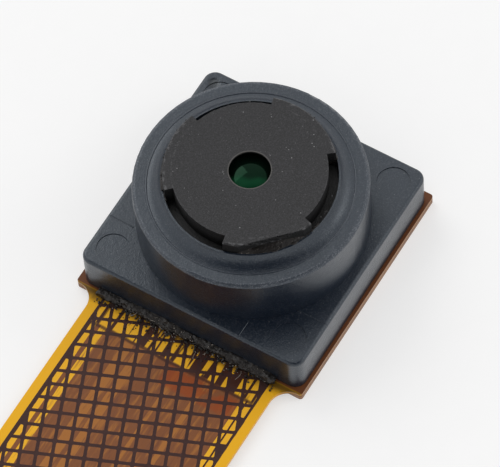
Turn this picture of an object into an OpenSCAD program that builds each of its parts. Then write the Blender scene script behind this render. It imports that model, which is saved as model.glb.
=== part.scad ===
// Fixed-focus camera module on a flexible printed circuit tail.
// The origin is on the optical axis, at the plane that the module rests on.
// +Z is the way the lens looks, and the tail leaves towards -Y.

/* [Holder] */
// Side of the square holder base
base_w = 8.5; // [7.6:0.1:9.5]
// Height of the square base above its glue line
base_h = 1.48; // [1.4:0.02:2.2]
// Radius of the base's upright corners
base_corner_r = 0.42; // [0.3:0.02:0.6]
// Rounding of the base's top edges
base_edge_r = 0.12; // [0.06:0.02:0.2]
// Outer radius of the round turret
turret_r = 3.93; // [3.7:0.01:4.0]
// Height of the turret's rim above the base
turret_h = 2.15; // [1.8:0.05:2.8]
// Rounding of the turret's outer top edge
rim_edge_r = 0.12; // [0.06:0.02:0.2]
// Radius of the fine ring line on the turret's top
ring_line_r = 3.46; // [3.4:0.01:3.6]
// Width of the ring line's bead
ring_line_w = 0.1; // [0.08:0.01:0.14]
// Height of the ring line above the rim
ring_line_h = 0.025; // [0.015:0.005:0.03]
// Height of the lip round the barrel above the rim
lip_h = 0.37; // [0.2:0.01:0.45]
// Width of the flat on top of the lip
lip_w = 0.06; // [0.04:0.01:0.1]
// Hollow of the shoulder below the straight line from ring to lip
shoulder_sag = 0.08; // [0.04:0.01:0.09]
// Diameter of the round ejector marks on the base
ejector_d = 1.15; // [0.8:0.05:1.3]
// Depth of the ejector marks
ejector_depth = 0.03; // [0.02:0.01:0.06]
// Distance of the ejector marks from the base's edges
ejector_inset = 0.85; // [0.8:0.05:1.0]
// Wall of the holder round the sensor space
cavity_wall = 0.85; // [0.7:0.05:1.0]
// Thickness of the roof over the sensor space
roof_t = 0.42; // [0.3:0.02:0.5]
// Radius of the light window in the roof
window_r = 2.0; // [1.8:0.05:2.1]

/* [Lens barrel] */
// Outer radius of the barrel's face
head_r = 2.88; // [2.84:0.01:2.92]
// Height of the barrel's face above the holder's lip
head_h = 0.45; // [0.3:0.01:0.6]
// Running gap between the barrel and the holder's bore
barrel_gap = 0.03; // [0.02:0.01:0.05]
// Step from the head to the threaded shank
shank_step = 0.06; // [0.04:0.01:0.1]
// Gap between the barrel's foot and the holder's roof
barrel_foot_gap = 0.3; // [0.1:0.05:0.4]
// Radius at the bottom of the tool notches
notch_r = 2.58; // [2.5:0.01:2.65]
// Width of a tool notch, in degrees
notch_span = 58; // [50:1:62]
// Direction of the first tool notch, in degrees
notch_turn = 14; // [10:1:18]
// Depth of the tool notches below the face
notch_depth = 0.75; // [0.6:0.05:0.9]
// Depth of the wide mouth of the holder's bore below the lip
mouth_depth = 0.6; // [0.5:0.05:0.8]
// Distance of the flat from the axis
flat_dist = 2.66; // [2.62:0.01:2.72]
// Direction of the flat, in degrees
flat_turn = -44; // [-48:1:-40]
// Height of each of the two fine steps down the flat
flat_step_h = 0.14; // [0.1:0.01:0.18]
// Depth of each of the two fine steps down the flat
flat_step_d = 0.05; // [0.03:0.01:0.06]
// Chamfer round the barrel's face
face_chamfer = 0.04; // [0.02:0.01:0.06]
// Radius of the aperture hole
aperture_r = 0.7; // [0.5:0.02:0.9]
// Straight land at the aperture's edge
aperture_land = 0.1; // [0.05:0.01:0.15]
// Growth of the aperture's radius from its land to the first lens
aperture_flare = 0.28; // [0.2:0.02:0.35]
// Thickness of the face over the first lens
face_t = 0.42; // [0.35:0.01:0.5]

/* [Lenses] */
// Outer radius of the front lens
front_lens_r = 1.45; // [1.3:0.05:1.6]
// Thickness of the front lens at its rim
front_lens_t = 0.45; // [0.35:0.05:0.55]
// Outer radius of the middle lens
middle_lens_r = 1.75; // [1.65:0.05:1.8]
// Thickness of the middle lens at its rim
middle_lens_t = 0.5; // [0.4:0.05:0.6]
// Outer radius of the rear lens
rear_lens_r = 2.1; // [2.0:0.05:2.2]
// Thickness of the rear lens at its rim
rear_lens_t = 0.55; // [0.45:0.05:0.65]
// Thickness of the light-stop rings between the lenses
spacer_t = 0.08; // [0.06:0.01:0.12]
// Opening radius of the front light stop
front_stop_r = 0.85; // [0.8:0.05:1.0]
// Opening radius of the rear light stop
rear_stop_r = 1.3; // [1.2:0.05:1.45]
// Height of the ring that holds the lens stack
retainer_t = 0.3; // [0.2:0.05:0.4]
// Opening radius of the retaining ring
retainer_hole_r = 1.75; // [1.6:0.05:1.85]
// Rise of the front lens's upper face
front_lens_rise = 0.22; // [0.15:0.01:0.25]
// Width of the front lens's dome past the aperture
dome_margin = 0.2; // [0.15:0.01:0.25]
// Rise of the upper faces of the two inner lenses
inner_lens_rise = 0.04; // [0.02:0.01:0.06]
// Hollow of the lenses' lower faces
lens_hollow = 0.15; // [0.1:0.01:0.2]

/* [Sensor] */
// Thickness of the infrared filter
filter_t = 0.21; // [0.15:0.01:0.3]
// Side of the square infrared filter
filter_w = 5.4; // [4.8:0.1:5.6]
// Width of the sensor die
sensor_w = 4.9; // [4.4:0.1:5.1]
// Depth of the sensor die
sensor_d = 4.1; // [3.6:0.1:4.3]
// Thickness of the sensor die
sensor_t = 0.25; // [0.2:0.01:0.3]
// Pitch of the bond wires
bond_pitch = 0.24; // [0.2:0.02:0.4]
// Width of a bond wire
bond_w = 0.05; // [0.04:0.01:0.06]
// Height of a bond wire's arch above the die
bond_rise = 0.12; // [0.1:0.01:0.15]
// Reach of a bond wire past the die's edge
bond_reach = 0.35; // [0.3:0.05:0.45]
// Length of a capacitor
capacitor_l = 0.6; // [0.4:0.1:0.8]
// Width and height of a capacitor
capacitor_w = 0.3; // [0.2:0.05:0.35]
// Gap between the capacitors and the holder's walls
capacitor_gap = 0.15; // [0.05:0.05:0.2]

/* [Glue] */
// Thickness of the glue line under the holder
glue_t = 0.05; // [0.03:0.01:0.08]
// Width of the glue bead at the foot of the holder's front
bead_w = 0.22; // [0.15:0.01:0.3]
// Height of the glue bead up the holder's front
bead_h = 0.2; // [0.12:0.01:0.26]
// How much shorter the lens-locking beads are than the barrel's lobes, in degrees
lobe_glue_end = 10; // [4:1:20]
// Depth of the lens-locking glue below the lip
lock_glue_depth = 0.25; // [0.15:0.05:0.35]
// Rise of the lens-locking glue up the barrel
lock_glue_rise = 0.14; // [0.08:0.01:0.2]

/* [Flex circuit] */
// Thickness of the film
film_t = 0.14; // [0.12:0.01:0.2]
// How far the circuit stands out round the holder
board_margin = 0.12; // [0.08:0.01:0.15]
// Width of the tail
tail_w = 7.15; // [6.6:0.05:7.4]
// Radius of the hollow flares at the ends of the tail
flare_r = 0.68; // [0.5:0.02:0.68]
// Length of the tail between the module and the connector pad
tail_l = 10.6; // [8:0.2:16]
// Width of the connector pad
pad_w = 9.2; // [9.2:0.05:9.8]
// Length of the connector pad
pad_l = 3.8; // [3.4:0.1:5]
// Radius of the circuit's corners at the module
board_corner_r = 0.11; // [0.06:0.01:0.11]
// Radius of the connector pad's corners
pad_corner_r = 0.3; // [0.2:0.02:0.34]
// Bare amber border along the tail's edges
border_w = 0.33; // [0.25:0.01:0.45]
// Pitch of the hatch across its steep lines
hatch_pitch_u = 0.533; // [0.5:0.001:0.7]
// Pitch of the hatch across its shallow lines
hatch_pitch_v = 0.52; // [0.5:0.001:0.7]
// Shift of the hatch across its steep lines
hatch_shift_u = 0.14; // [-0.25:0.01:0.25]
// Shift of the hatch across its shallow lines
hatch_shift_v = -0.22; // [-0.25:0.01:0.25]
// Width of the hatch lines
hatch_line_w = 0.12; // [0.1:0.01:0.16]
// Turn of the hatch, in degrees
hatch_turn = 22.5; // [10:0.5:40]
// Corner cut of each hatch window
hatch_corner = 0.03; // [0.02:0.01:0.08]
// How far the ground plane reaches in under the holder
mesh_tuck = 0.2; // [0.1:0.05:0.4]
// Width of the solid copper frame round the hatch
mesh_frame_w = 0.09; // [0.06:0.01:0.12]
// Thickness of the copper layers
copper_t = 0.05; // [0.04:0.01:0.06]
// Number of tracks in the lower layer
track_count = 14; // [6:1:16]
// Width of a track
track_w = 0.16; // [0.1:0.02:0.2]
// Thickness of the stiffener plates
stiffener_t = 0.2; // [0.15:0.01:0.3]

/* [Connector] */
// Contacts in each of the two rows
contact_count = 12; // [6:1:13]
// Pitch of the contacts
contact_pitch = 0.4; // [0.35:0.01:0.45]
// Width of a contact
contact_w = 0.16; // [0.12:0.01:0.2]
// Thickness of the contact strip
contact_t = 0.06; // [0.05:0.01:0.1]
// Length of a contact's foot beyond the housing
contact_foot = 0.35; // [0.2:0.05:0.5]
// Width of the connector housing, across the two rows
housing_w = 2.3; // [2.0:0.05:2.6]
// Height of the connector housing
housing_h = 0.85; // [0.7:0.05:1.2]
// Height of the housing's floor
housing_floor = 0.25; // [0.2:0.01:0.35]
// Thickness of the housing's walls
housing_wall = 0.42; // [0.35:0.01:0.5]
// Length of the housing past the last contact, at each end
housing_end = 0.75; // [0.6:0.05:0.9]
// Radius of the housing's upright corners
housing_corner_r = 0.15; // [0.1:0.01:0.25]
// Thickness of the hold-down plates
hold_down_t = 0.1; // [0.08:0.01:0.15]
// Width of the hold-down plates
hold_down_w = 1.3; // [1:0.1:1.5]
// Length of a hold-down's foot beyond the housing
hold_down_foot = 0.3; // [0.2:0.05:0.4]

/* [Hidden] */
$fn = 96;
// Overlap that keeps cuts clear of coincident faces
eps = 0.01;
// Facets of the small rounded corners
corner_fn = 32;

// Heights, from the resting plane up
film_z = stiffener_t;
film_top = film_z + film_t;
holder_z = film_top + glue_t;
base_top = holder_z + base_h;
rim_z = base_top + turret_h;
lip_z = rim_z + lip_h;
face_z = lip_z + head_h;

// Holder
bore_r = head_r + barrel_gap;
glue_fit = 0.002;
lip_r = bore_r + lip_w;
mouth_z = lip_z - mouth_depth;
cavity_w = base_w - 2 * cavity_wall;
roof_top = base_top;
roof_z = roof_top - roof_t;
shank_r = head_r - shank_step;
shank_bore_r = shank_r + barrel_gap;
ejector_pos = base_w / 2 - ejector_inset;

// Barrel and the stack of lenses inside it, from the face down
barrel_z = roof_top + barrel_foot_gap;
front_lens_z = face_z - face_t - front_lens_t;
front_spacer_z = front_lens_z - spacer_t;
middle_lens_z = front_spacer_z - middle_lens_t;
rear_spacer_z = middle_lens_z - spacer_t;
rear_lens_z = rear_spacer_z - rear_lens_t;
retainer_z = rear_lens_z - retainer_t;
lens_fit = 0.01;

// Sensor space
filter_z = roof_z - filter_t;
sensor_top = film_top + sensor_t;
capacitor_x = cavity_w / 2 - capacitor_gap - capacitor_l / 2;

// Outline of the circuit, from the back edge of the module to the end of the connector pad
board_w = base_w + 2 * board_margin;
board_back = board_w / 2;
board_front = -board_w / 2;
pad_back = board_front - tail_l;
pad_front = pad_back - pad_l;
mesh_back = -base_w / 2 + mesh_tuck;
mesh_front = pad_back + flare_r / 2;
mesh_w = tail_w - 2 * border_w;
track_pitch = mesh_w / track_count;
track_back = -cavity_w / 2;
track_front = pad_back - pad_l / 2 + housing_w / 2 + contact_foot;

// Connector
pad_mid = (pad_back + pad_front) / 2;
contact_row = (contact_count - 1) * contact_pitch;
housing_l = contact_row + 2 * housing_end;

// A square plate outline with rounded corners
module rounded_square(w, d, r) {
    for (x = [-1, 1], y = [-1, 1])
        translate([x * (w / 2 - r), y * (d / 2 - r)]) circle(r = r, $fn = corner_fn);
    square([w - 2 * r, d], center = true);
    square([w, d - 2 * r], center = true);
}

// A ring about the optical axis, from its lower face up
module ring(outer_r, inner_r, z, h) {
    translate([0, 0, z]) difference() {
        cylinder(r = outer_r, h = h);
        translate([0, 0, -eps]) cylinder(r = inner_r, h = h + 2 * eps);
    }
}

// ---------------------------------------------------------------- holder

// Half section of the base's edge, from a corner's axis outwards, with its rounded top
module edge_section() {
    square([base_corner_r, base_h - base_edge_r]);
    square([base_corner_r - base_edge_r, base_h]);
    translate([base_corner_r - base_edge_r, base_h - base_edge_r]) circle(r = base_edge_r);
}

// Square base: a core, a straight edge on each side and a turned edge at each corner
module base_block() {
    post = base_w / 2 - base_corner_r;
    translate([-post, -post, holder_z]) cube([2 * post, 2 * post, base_h]);
    for (turn = [0:90:270]) rotate([0, 0, turn]) {
        translate([post, post, holder_z]) rotate([90, 0, 0]) linear_extrude(2 * post)
            edge_section();
        translate([post, post, holder_z]) rotate_extrude(angle = 90) edge_section();
    }
}

// Half section of the shoulder: a hollow arc from the ring line up to the lip
module shoulder_section() {
    run = ring_line_r - lip_r;
    chord = sqrt(run * run + lip_h * lip_h);
    arc_r = (chord * chord / 4 + shoulder_sag * shoulder_sag) / (2 * shoulder_sag);
    mid = [(ring_line_r + lip_r) / 2, rim_z + lip_h / 2];
    out = [lip_h, run] / chord;
    difference() {
        translate([0, rim_z - eps]) square([ring_line_r + eps, lip_h + eps]);
        translate(mid + out * (arc_r - shoulder_sag)) circle(r = arc_r);
    }
}

// Half section of the turret
module turret_section() {
    difference() {
        union() {
            translate([0, base_top - eps])
                square([turret_r, turret_h + eps - rim_edge_r]);
            translate([0, base_top - eps])
                square([turret_r - rim_edge_r, turret_h + eps]);
            translate([turret_r - rim_edge_r, rim_z - rim_edge_r]) circle(r = rim_edge_r);
            shoulder_section();
            translate([ring_line_r, rim_z + ring_line_h - ring_line_w / 2])
                circle(r = ring_line_w / 2);
        }
        translate([-eps, holder_z]) square([shank_bore_r + eps, lip_z - holder_z + eps]);
        translate([-eps, mouth_z]) square([bore_r + eps, mouth_depth + eps]);
    }
}

// Square hollow over the sensor, with a window to the turret
module sensor_space() {
    translate([0, 0, holder_z - eps]) linear_extrude(roof_z - holder_z + eps)
        square(cavity_w, center = true);
    translate([0, 0, roof_z - eps]) cylinder(r = window_r, h = roof_t + 2 * eps);
}

module lens_holder() {
    color([0.21, 0.22, 0.25]) {
        difference() {
            base_block();
            sensor_space();
            for (x = [-1, 1], y = [-1, 1])
                translate([x * ejector_pos, y * ejector_pos, base_top - ejector_depth])
                    cylinder(r = ejector_d / 2, h = ejector_depth + eps);
        }
        rotate_extrude() turret_section();
    }
}

// ---------------------------------------------------------------- barrel and lenses

// Steps of the bore inside the barrel, one for each piece of the stack
module barrel_bore() {
    translate([0, 0, front_spacer_z - eps])
        cylinder(r = front_lens_r + lens_fit, h = face_z - face_t - front_spacer_z + eps);
    translate([0, 0, rear_spacer_z - eps])
        cylinder(r = middle_lens_r + lens_fit, h = front_spacer_z - rear_spacer_z + eps);
    translate([0, 0, barrel_z - eps])
        cylinder(r = rear_lens_r + lens_fit, h = rear_spacer_z - barrel_z + eps);
}

// Aperture: a short straight land, then a cone that opens towards the first lens
module aperture_hole() {
    translate([0, 0, face_z - aperture_land - eps])
        cylinder(r = aperture_r, h = aperture_land + 2 * eps);
    translate([0, 0, face_z - face_t - eps])
        cylinder(r1 = aperture_r + aperture_flare, r2 = aperture_r,
                 h = face_t - aperture_land + eps);
}

// One tool notch, cut down from the face between the notch radius and the outside
module tool_notch() {
    translate([0, 0, face_z - notch_depth]) rotate([0, 0, -notch_span / 2])
        rotate_extrude(angle = notch_span)
            translate([notch_r, 0]) square([head_r - notch_r + eps, notch_depth + eps]);
}

// The space outside the flat: two fine steps, then straight down past the holder's lip
module flat_space() {
    foot_z = lip_z - lock_glue_depth;
    rotate([0, 0, flat_turn]) for (i = [0:2])
        translate([flat_dist + i * flat_step_d, -head_r, foot_z])
            cube([head_r, 2 * head_r, face_z - i * flat_step_h - foot_z]);
}

module lens_barrel() {
    head_foot = mouth_z + barrel_gap;
    color([0.12, 0.12, 0.13]) difference() {
        rotate_extrude()
            polygon([[0, barrel_z], [shank_r, barrel_z], [shank_r, head_foot],
                     [head_r, head_foot + shank_step], [head_r, face_z - face_chamfer],
                     [head_r - face_chamfer, face_z], [0, face_z]]);
        barrel_bore();
        aperture_hole();
        for (i = [0:2]) rotate([0, 0, notch_turn + i * 120]) tool_notch();
        flat_space();
    }
}

// A disc with a domed or hollow centre on each face: a sphere cap added above or cut from below
module lens_disc(r, t, z, optic_r, top_rise) {
    top_r = (optic_r * optic_r + top_rise * top_rise) / (2 * top_rise);
    low_r = (optic_r * optic_r + lens_hollow * lens_hollow) / (2 * lens_hollow);
    translate([0, 0, z]) difference() {
        union() {
            cylinder(r = r, h = t);
            rotate_extrude() intersection() {
                translate([0, t - top_r + top_rise]) circle(r = top_r);
                translate([0, t - eps]) square([optic_r, top_rise + eps]);
            }
        }
        rotate_extrude() intersection() {
            translate([0, lens_hollow - low_r]) circle(r = low_r);
            translate([0, -eps]) square([optic_r, lens_hollow + eps]);
        }
    }
}

module front_lens() {
    color([0.1, 0.3, 0.2])
        lens_disc(front_lens_r, front_lens_t, front_lens_z, aperture_r + dome_margin,
                  front_lens_rise);
}

module front_spacer() {
    color([0.08, 0.08, 0.08]) ring(front_lens_r, front_stop_r, front_spacer_z, spacer_t);
}

module middle_lens() {
    color([0.75, 0.85, 0.9])
        lens_disc(middle_lens_r, middle_lens_t, middle_lens_z, front_stop_r, inner_lens_rise);
}

module rear_spacer() {
    color([0.08, 0.08, 0.08]) ring(middle_lens_r, rear_stop_r, rear_spacer_z, spacer_t);
}

module rear_lens() {
    color([0.75, 0.85, 0.9])
        lens_disc(rear_lens_r, rear_lens_t, rear_lens_z, rear_stop_r, inner_lens_rise);
}

module lens_retainer() {
    color([0.1, 0.1, 0.1]) ring(rear_lens_r, retainer_hole_r, retainer_z, retainer_t);
}

// ---------------------------------------------------------------- sensor space

module infrared_filter() {
    color([0.7, 0.45, 0.6]) translate([0, 0, filter_z + filter_t / 2])
        cube([filter_w, filter_w, filter_t], center = true);
}

module image_sensor() {
    color([0.25, 0.25, 0.3]) translate([0, 0, film_top + sensor_t / 2])
        cube([sensor_w, sensor_d, sensor_t], center = true);
}

// One wire: a flat arch from the die's top, over its edge and down to the circuit
module bond_wire() {
    land = bond_w * 2;
    rotate([90, 0, 0]) linear_extrude(bond_w, center = true) difference() {
        polygon([[-land * 2, sensor_top], [-land, sensor_top], [-land / 2, sensor_top + bond_rise / 2],
                 [0, sensor_top + bond_rise / 2], [bond_reach - land, film_top], [bond_reach, film_top],
                 [bond_w, sensor_top + bond_rise], [-land, sensor_top + bond_rise]]);
    }
}

module bond_wires() {
    count = floor((sensor_d - 4 * bond_w) / bond_pitch);
    color([0.9, 0.72, 0.3])
        for (side = [0, 180], i = [0:count - 1])
            rotate([0, 0, side])
                translate([sensor_w / 2, (i - (count - 1) / 2) * bond_pitch, 0]) bond_wire();
}

module bypass_capacitors() {
    color([0.65, 0.5, 0.35])
        for (x = [-1, 1], y = [-1, 1])
            translate([x * capacitor_x - capacitor_l / 2,
                       y * (sensor_d / 2 + capacitor_w * 1.5) - capacitor_w / 2, film_top])
                cube([capacitor_l, capacitor_w, capacitor_w]);
}

// ---------------------------------------------------------------- glue

module holder_adhesive() {
    color([0.1, 0.09, 0.08]) translate([0, 0, film_top]) linear_extrude(glue_t) difference() {
        rounded_square(base_w, base_w, base_corner_r);
        square(cavity_w, center = true);
    }
}

// Quarter-round bead with rounded ends along the foot of the holder's front
module front_glue_bead() {
    run = tail_w - 2 * bead_w;
    color([0.15, 0.13, 0.12]) translate([0, -base_w / 2, film_top]) {
        translate([run / 2, 0, 0]) rotate([0, -90, 0]) linear_extrude(run) bead_section();
        for (x = [-1, 1]) translate([x * run / 2, 0, 0]) bead_end();
    }
}

// Quarter ellipse section of the bead, up the wall and out over the film
module bead_section() {
    polygon(concat([[0, 0]], [for (a = [0:15:90]) [bead_h * cos(a), -bead_w * sin(a)]]));
}

// Rounded end of the bead
module bead_end() {
    rotate([0, 0, 180]) rotate_extrude(angle = 180, $fn = corner_fn)
        polygon(concat([[0, 0]], [for (a = [0:15:90]) [bead_w * sin(a), bead_h * cos(a)]]));
}

// Fills the gap between the barrel's flat and the holder's bore, and slopes up the flat
module flat_glue() {
    foot_z = lip_z - lock_glue_depth;
    intersection() {
        flat_space();
        rotate_extrude()
            polygon([[0, foot_z], [bore_r - glue_fit, foot_z], [bore_r - glue_fit, lip_z],
                     [flat_dist, lip_z + lock_glue_rise], [0, lip_z + lock_glue_rise]]);
    }
}

// Bead on the holder's lip along one of the barrel's two round lobes
module lobe_glue() {
    run = 120 - notch_span - lobe_glue_end;
    wall_r = head_r + glue_fit;
    rotate([0, 0, -run / 2]) rotate_extrude(angle = run)
        polygon([[wall_r, lip_z], [lip_r - glue_fit, lip_z],
                 [wall_r, lip_z + lock_glue_rise]]);
}

module lens_lock_glue() {
    color([0.09, 0.09, 0.1]) {
        flat_glue();
        for (i = [0:1]) rotate([0, 0, notch_turn + 60 + i * 120]) lobe_glue();
    }
}

// ---------------------------------------------------------------- flex circuit

// Hollow flares at a shoulder of the outline, where the tail meets a wider part
module flares(y, side) {
    for (x = [-1, 1]) difference() {
        translate([x * (tail_w / 2 + flare_r / 2 - eps / 2), y + side * flare_r / 2])
            square([flare_r + eps, flare_r], center = true);
        translate([x * (tail_w / 2 + flare_r), y + side * flare_r]) circle(r = flare_r);
    }
}

// Outline of the whole circuit film
module film_outline() {
    rounded_square(board_w, board_w, board_corner_r);
    translate([0, (board_front + pad_back) / 2]) square([tail_w, tail_l + 2 * eps], center = true);
    translate([0, pad_mid]) rounded_square(pad_w, pad_l, pad_corner_r);
    flares(board_front, -1);
    flares(pad_back, 1);
}

// One hatch window: a rectangle with its corners cut
module hatch_window() {
    h = [hatch_pitch_u - hatch_line_w, hatch_pitch_v - hatch_line_w] / 2;
    c = h - [hatch_corner, hatch_corner];
    polygon([[h.x, -c.y], [h.x, c.y], [c.x, h.y], [-c.x, h.y],
             [-h.x, c.y], [-h.x, -c.y], [-c.x, -h.y], [c.x, -h.y]]);
}

// Outline of the ground plane
module mesh_outline(inset) {
    translate([-mesh_w / 2 + inset, mesh_front + inset])
        square([mesh_w - 2 * inset, mesh_back - mesh_front - 2 * inset]);
}

// Place of a window's centre in the turned lattice of the hatch
function window_place(i, j) =
    [i * hatch_pitch_u + hatch_shift_u, j * hatch_pitch_v + hatch_shift_v];

// Whether a window's centre lies within the ground plane
function window_inside(p) =
    let (x = p.x * cos(hatch_turn) - p.y * sin(hatch_turn),
         y = p.x * sin(hatch_turn) + p.y * cos(hatch_turn) + mesh_back)
    abs(x) < mesh_w / 2 && y < mesh_back && y > mesh_front;

// Ground plane: the outline less its windows, which keep clear of the frame
module mesh_plan() {
    reach = ceil((mesh_back - mesh_front) / min(hatch_pitch_u, hatch_pitch_v));
    difference() {
        mesh_outline(0);
        intersection() {
            mesh_outline(mesh_frame_w);
            translate([0, mesh_back]) rotate([0, 0, hatch_turn])
                for (i = [-reach:reach], j = [-reach:reach])
                    if (window_inside(window_place(i, j)))
                        translate(window_place(i, j)) hatch_window();
        }
    }
}

module ground_mesh() {
    color([0.32, 0.2, 0.16]) translate([0, 0, film_top - copper_t]) linear_extrude(copper_t)
        mesh_plan();
}

// Plan of the lengthwise tracks in the lower face
module track_plan() {
    for (i = [0:track_count - 1])
        translate([(i - (track_count - 1) / 2) * track_pitch - track_w / 2, track_front])
            square([track_w, track_back - track_front]);
}

module signal_traces() {
    color([0.72, 0.42, 0.2]) translate([0, 0, film_z]) linear_extrude(copper_t) track_plan();
}

module flex_film() {
    color([0.95, 0.66, 0.1]) difference() {
        translate([0, 0, film_z]) linear_extrude(film_t) film_outline();
        translate([0, 0, film_top - copper_t]) linear_extrude(copper_t + eps) mesh_plan();
        translate([0, 0, film_z - eps]) linear_extrude(copper_t + eps) track_plan();
    }
}

module module_stiffener() {
    color([0.5, 0.36, 0.24]) linear_extrude(stiffener_t)
        rounded_square(board_w, board_w, board_corner_r);
}

module connector_stiffener() {
    color([0.5, 0.36, 0.24]) translate([0, pad_mid, 0]) linear_extrude(stiffener_t)
        rounded_square(pad_w, pad_l, pad_corner_r);
}

// ---------------------------------------------------------------- connector

// Section of one contact: its foot on the circuit, up the wall, over it and down inside
module contact_section() {
    outer = housing_w / 2;
    inner = outer - housing_wall;
    polygon([[outer - contact_t, 0], [outer + contact_foot, 0], [outer + contact_foot, contact_t],
             [outer, contact_t], [outer, housing_h], [inner, housing_h], [inner, housing_floor],
             [inner + contact_t, housing_floor], [inner + contact_t, housing_h - contact_t],
             [outer - contact_t, housing_h - contact_t]]);
}

// Both rows of contacts
module contact_rows() {
    for (side = [0, 180], i = [0:contact_count - 1])
        rotate([0, 0, side])
            translate([i * contact_pitch - contact_row / 2 - contact_w / 2, 0, 0])
                rotate([90, 0, 90]) linear_extrude(contact_w) contact_section();
}

// Section of a hold-down: its foot on the circuit and its plate in the housing's end
module hold_down_section() {
    outer = housing_l / 2;
    polygon([[outer - hold_down_t, 0], [outer + hold_down_foot, 0],
             [outer + hold_down_foot, hold_down_t], [outer, hold_down_t],
             [outer, housing_h - hold_down_t], [outer - hold_down_t, housing_h - hold_down_t]]);
}

// Both hold-downs
module hold_down_pair() {
    for (side = [0, 180])
        rotate([0, 0, side]) translate([0, hold_down_w / 2, 0]) rotate([90, 0, 0])
            linear_extrude(hold_down_w) hold_down_section();
}

module connector_housing() {
    color([0.13, 0.13, 0.14]) translate([0, pad_mid, film_top]) difference() {
        linear_extrude(housing_h) rounded_square(housing_l, housing_w, housing_corner_r);
        translate([0, 0, housing_floor]) linear_extrude(housing_h)
            square([housing_l - 2 * housing_wall, housing_w - 2 * housing_wall], center = true);
        contact_rows();
        hold_down_pair();
    }
}

module connector_contacts() {
    color([0.92, 0.75, 0.35]) translate([0, pad_mid, film_top]) contact_rows();
}

module connector_hold_downs() {
    color([0.8, 0.78, 0.72]) translate([0, pad_mid, film_top]) hold_down_pair();
}

lens_holder();
lens_barrel();
front_lens();
front_spacer();
middle_lens();
rear_spacer();
rear_lens();
lens_retainer();
infrared_filter();
image_sensor();
bond_wires();
bypass_capacitors();
holder_adhesive();
front_glue_bead();
lens_lock_glue();
flex_film();
ground_mesh();
signal_traces();
module_stiffener();
connector_stiffener();
connector_housing();
connector_contacts();
connector_hold_downs();
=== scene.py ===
# %% [markdown]
# # A small camera module on its flexible circuit
# The object is a fixed-focus camera module, 8.5 mm across and under 5 mm high. A square moulded
# holder carries a round turret, a glued lens barrel sits in the turret, and a hatched amber
# circuit film leads away to a connector. The solid parts come from a measured CAD model, and this
# notebook dresses them: a camera, soft light, a finish for every part, and the glue and dust that
# a CAD model leaves out. The CAD model is loaded first, so that every place and size that follows
# can be read from it.

# %% Load the measured model
import math
import random

import bpy
from mathutils import Matrix, Vector


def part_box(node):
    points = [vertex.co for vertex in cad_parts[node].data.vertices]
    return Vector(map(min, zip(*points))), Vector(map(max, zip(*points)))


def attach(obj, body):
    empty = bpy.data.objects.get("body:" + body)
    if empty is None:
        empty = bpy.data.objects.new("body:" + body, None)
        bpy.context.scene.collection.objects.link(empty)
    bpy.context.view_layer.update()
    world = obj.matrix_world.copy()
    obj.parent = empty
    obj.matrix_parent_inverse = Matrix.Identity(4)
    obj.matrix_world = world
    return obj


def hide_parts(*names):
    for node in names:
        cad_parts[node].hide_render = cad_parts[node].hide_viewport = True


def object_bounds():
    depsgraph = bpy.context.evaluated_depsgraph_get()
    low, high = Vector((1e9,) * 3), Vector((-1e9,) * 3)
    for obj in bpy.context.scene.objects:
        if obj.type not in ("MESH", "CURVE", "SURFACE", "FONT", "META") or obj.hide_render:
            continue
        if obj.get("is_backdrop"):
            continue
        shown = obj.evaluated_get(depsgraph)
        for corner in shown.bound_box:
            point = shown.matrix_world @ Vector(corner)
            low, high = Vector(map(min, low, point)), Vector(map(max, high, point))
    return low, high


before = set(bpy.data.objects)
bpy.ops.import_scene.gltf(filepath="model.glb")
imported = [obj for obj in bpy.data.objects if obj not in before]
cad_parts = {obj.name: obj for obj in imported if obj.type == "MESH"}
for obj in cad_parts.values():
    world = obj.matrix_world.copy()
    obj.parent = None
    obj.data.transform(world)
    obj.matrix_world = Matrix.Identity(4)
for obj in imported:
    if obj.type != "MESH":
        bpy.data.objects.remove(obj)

cad_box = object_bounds()
MM = 0.001
bpy.context.scene.view_settings.view_transform = "Standard"
print("parts:", len(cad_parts), "size in mm:", [round(v / MM, 2) for v in cad_box[1] - cad_box[0]])

# %% [markdown]
# ## Sizes that the finishes follow
# A finish that has lines or bands on it has to know where the part's edges are. They could be
# typed in again, but then a change to the model would leave the paint behind. Reading them from
# the boxes of the CAD parts keeps the two together. Everything is turned into millimetres here,
# because the finishes count in millimetres too.

# %% Read the main places, in millimetres
def corners(node):
    """Lowest and highest corner of a CAD part, in millimetres."""
    low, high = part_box(node)
    return low / MM, high / MM

holder_low, holder_high = corners("lens_holder")
film_low, film_high = corners("flex_film")
mesh_edge = corners("ground_mesh")[1].x
face_z = corners("lens_barrel")[1].z
lip_z = holder_high.z
base_front = holder_low.y
film_top = film_high.z

# Sizes of the CAD model that no box gives
BASE_H = 1.48
LIP_H = 0.37
TURRET_R = 3.93
RING_R = 3.46
HEAD_R = 2.88
NOTCH_R = 2.58
APERTURE_R = 0.7

base_top = holder_low.z + BASE_H
rim_z = lip_z - LIP_H
print("base", round(base_top, 3), "rim", round(rim_z, 3), "lip", round(lip_z, 3), "face", round(face_z, 3))

# %% [markdown]
# ## The camera
# The module is looked at from above its front right corner, from far away with a long lens, so
# that its sides stay nearly parallel. A camera could be aimed by hand, but it is steadier to write
# it as three turns and a distance: the direction, the height above the floor, and a small roll.
# The three axes below are the camera's own right, up and back directions.

# %% Place the camera
AZIMUTH, ELEVATION, ROLL = (math.radians(v) for v in (35.4235, 60.1935, -5.0696))
DISTANCE = 150.304
LENS = 322.8
AIM_RIGHT = -0.1867
AIM_UP = 0.123

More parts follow.
